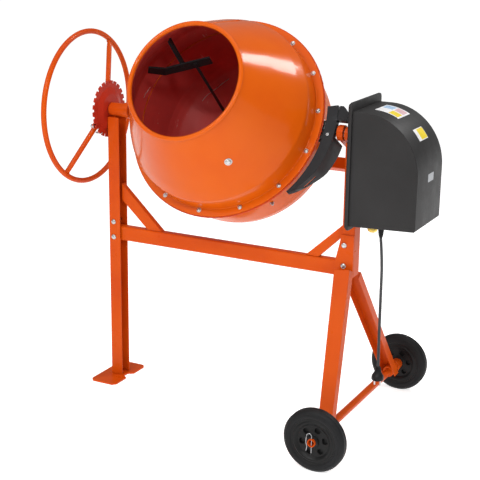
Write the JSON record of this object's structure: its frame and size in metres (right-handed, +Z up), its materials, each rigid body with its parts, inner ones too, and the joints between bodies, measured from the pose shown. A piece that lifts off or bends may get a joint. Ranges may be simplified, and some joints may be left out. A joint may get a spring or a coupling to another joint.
{
  "type": "concrete mixer",
  "caption": "Electric concrete mixer: geared tilting drum in a yoke, notched hand wheel with spring lock, belt-drive box, wheeled stand and hanging power cord.",
  "frame": {"origin": "centre of the whole mixer's footprint, on the floor", "axes": "+Z up, X along the tilt axis with the hand wheel at -X and the drive box at +X, -Y the side the drum's mouth faces"},
  "size_m": [1.2312, 0.7837, 1.2876],
  "materials": {
    "left_post": "glossy orange paint",
    "foot_plate": "glossy orange paint",
    "left_bearing_sleeve": "glossy orange paint",
    "cross_beam": "glossy orange paint",
    "left_brace": "glossy orange paint",
    "right_brace": "glossy orange paint",
    "right_post": "glossy orange paint",
    "right_bearing_sleeve": "glossy orange paint",
    "left_bolt_lower": "zinc plated",
    "left_bolt_upper": "zinc plated",
    "right_bolt_lower": "zinc plated",
    "right_bolt_upper": "zinc plated",
    "near_leg": "glossy orange paint",
    "far_leg": "glossy orange paint",
    "axle_tube": "glossy orange paint",
    "near_tyre": "matt black",
    "near_wheel_hub": "matt black",
    "near_axle_washer": "zinc plated",
    "near_r_clip": "zinc plated",
    "far_tyre": "matt black",
    "far_wheel_hub": "matt black",
    "far_axle_washer": "zinc plated",
    "far_r_clip": "zinc plated",
    "lock_disc": "glossy orange paint",
    "hand_wheel": "glossy orange paint",
    "lock_pin": "zinc plated",
    "lock_spring": "zinc plated",
    "wheel_nut": "zinc plated",
    "yoke_left_arm": "glossy orange paint",
    "yoke_right_arm": "glossy orange paint",
    "yoke_cross_tube": "glossy orange paint",
    "left_pivot_shaft": "plain machined steel",
    "right_pivot_tube": "plain machined steel",
    "pinion_bush": "plain brass",
    "drum_bearing_housing": "bare cast iron",
    "drum_bearing": "plain machined steel",
    "gear_guard": "black paint",
    "upper_drum": "glossy orange paint",
    "lower_drum": "glossy orange paint",
    "drum_shaft": "plain machined steel",
    "ring_gear": "bare cast iron",
    "pinion": "bare cast iron",
    "pinion_shaft": "plain machined steel",
    "large_pulley": "plain machined steel",
    "mixing_arm_a": "black paint",
    "mixing_arm_b": "black paint",
    "motor_back_plate": "black paint",
    "motor_cover": "matt black",
    "motor_bracket": "glossy orange paint",
    "motor_body": "cast aluminium",
    "motor_rotor": "plain machined steel",
    "drive_belt": "matt black",
    "capacitor": "matt black",
    "cable_gland": "matt black",
    "belt_adjuster": "plain brass",
    "switch_housing": "matt black",
    "start_button": "green",
    "stop_button": "red",
    "power_cord": "matt black",
    "plug": "matt black"
  },
  "bodies": {
    "stand": {"left_post": "left_post", "foot_plate": "foot_plate", "left_bearing_sleeve": "left_bearing_sleeve", "cross_beam": "cross_beam", "left_brace": "left_brace", "right_brace": "right_brace", "right_post": "right_post", "right_bearing_sleeve": "right_bearing_sleeve", "left_bolt_lower": "left_bolt_lower", "left_bolt_upper": "left_bolt_upper", "right_bolt_lower": "right_bolt_lower", "right_bolt_upper": "right_bolt_upper", "near_leg": "near_leg", "far_leg": "far_leg", "axle_tube": "axle_tube", "near_axle_washer": "near_axle_washer", "near_r_clip": "near_r_clip", "far_axle_washer": "far_axle_washer", "far_r_clip": "far_r_clip", "lock_disc": "lock_disc", "motor_back_plate": "motor_back_plate", "motor_cover": "motor_cover", "motor_bracket": "motor_bracket", "motor_body": "motor_body", "drive_belt": "drive_belt", "capacitor": "capacitor", "cable_gland": "cable_gland", "belt_adjuster": "belt_adjuster", "switch_housing": "switch_housing", "power_cord": "power_cord", "plug": "plug"},
    "yoke": {"yoke_left_arm": "yoke_left_arm", "yoke_right_arm": "yoke_right_arm", "yoke_cross_tube": "yoke_cross_tube", "left_pivot_shaft": "left_pivot_shaft", "right_pivot_tube": "right_pivot_tube", "pinion_bush": "pinion_bush", "drum_bearing_housing": "drum_bearing_housing", "drum_bearing": "drum_bearing", "gear_guard": "gear_guard", "wheel_nut": "wheel_nut"},
    "wheel_lock": {"hand_wheel": "hand_wheel", "lock_pin": "lock_pin", "lock_spring": "lock_spring"},
    "pinion_drive": {"pinion": "pinion", "pinion_shaft": "pinion_shaft", "large_pulley": "large_pulley"},
    "drum": {"upper_drum": "upper_drum", "lower_drum": "lower_drum", "drum_shaft": "drum_shaft", "ring_gear": "ring_gear", "mixing_arm_a": "mixing_arm_a", "mixing_arm_b": "mixing_arm_b"},
    "rotor": {"motor_rotor": "motor_rotor"},
    "near_wheel": {"near_tyre": "near_tyre", "near_wheel_hub": "near_wheel_hub"},
    "far_wheel": {"far_tyre": "far_tyre", "far_wheel_hub": "far_wheel_hub"},
    "start": {"start_button": "start_button"},
    "stop": {"stop_button": "stop_button"}
  },
  "joints": [
    {"name": "tilt", "type": "hinge", "parent": "stand", "child": "yoke", "pos_m": [-0.0574, 0.0027, 0.952], "axis": [1, 0, 0], "range_deg": [-45, 75]},
    {"name": "drum_spin", "type": "hinge", "parent": "yoke", "child": "drum", "pos_m": [-0.0574, 0.0027, 0.952], "axis": [0, -0.8704, 0.4924], "continuous": true},
    {"name": "pinion_spin", "type": "hinge", "parent": "yoke", "child": "pinion_drive", "pos_m": [-0.0574, 0.0027, 0.952], "axis": [1, 0, 0], "continuous": true},
    {"name": "motor_spin", "type": "hinge", "parent": "stand", "child": "rotor", "pos_m": [0.5026, 0.0027, 0.79], "axis": [1, 0, 0], "continuous": true},
    {"name": "wheel_pull", "type": "slide", "parent": "yoke", "child": "wheel_lock", "axis": [-1, 0, 0], "range_m": [0, 0.009], "stiffness_N_per_m": 1500, "springref_m": -0.005, "deforming": ["lock_spring"]},
    {"name": "near_wheel_spin", "type": "hinge", "parent": "stand", "child": "near_wheel", "pos_m": [0.4253, -0.3558, 0.099], "axis": [0, 1, 0], "continuous": true},
    {"name": "far_wheel_spin", "type": "hinge", "parent": "stand", "child": "far_wheel", "pos_m": [0.4253, 0.3612, 0.099], "axis": [0, 1, 0], "continuous": true},
    {"name": "start_press", "type": "slide", "parent": "stand", "child": "start", "axis": [0, -1, 0], "range_m": [0, 0.003], "stiffness_N_per_m": 300},
    {"name": "stop_press", "type": "slide", "parent": "stand", "child": "stop", "axis": [0, -1, 0], "range_m": [0, 0.003], "stiffness_N_per_m": 300}
  ],
  "couplings": [
    {"joint": "pinion_spin", "follows": "drum_spin", "ratio": -10},
    {"joint": "motor_spin", "follows": "drum_spin", "ratio": -59.829}
  ]
}
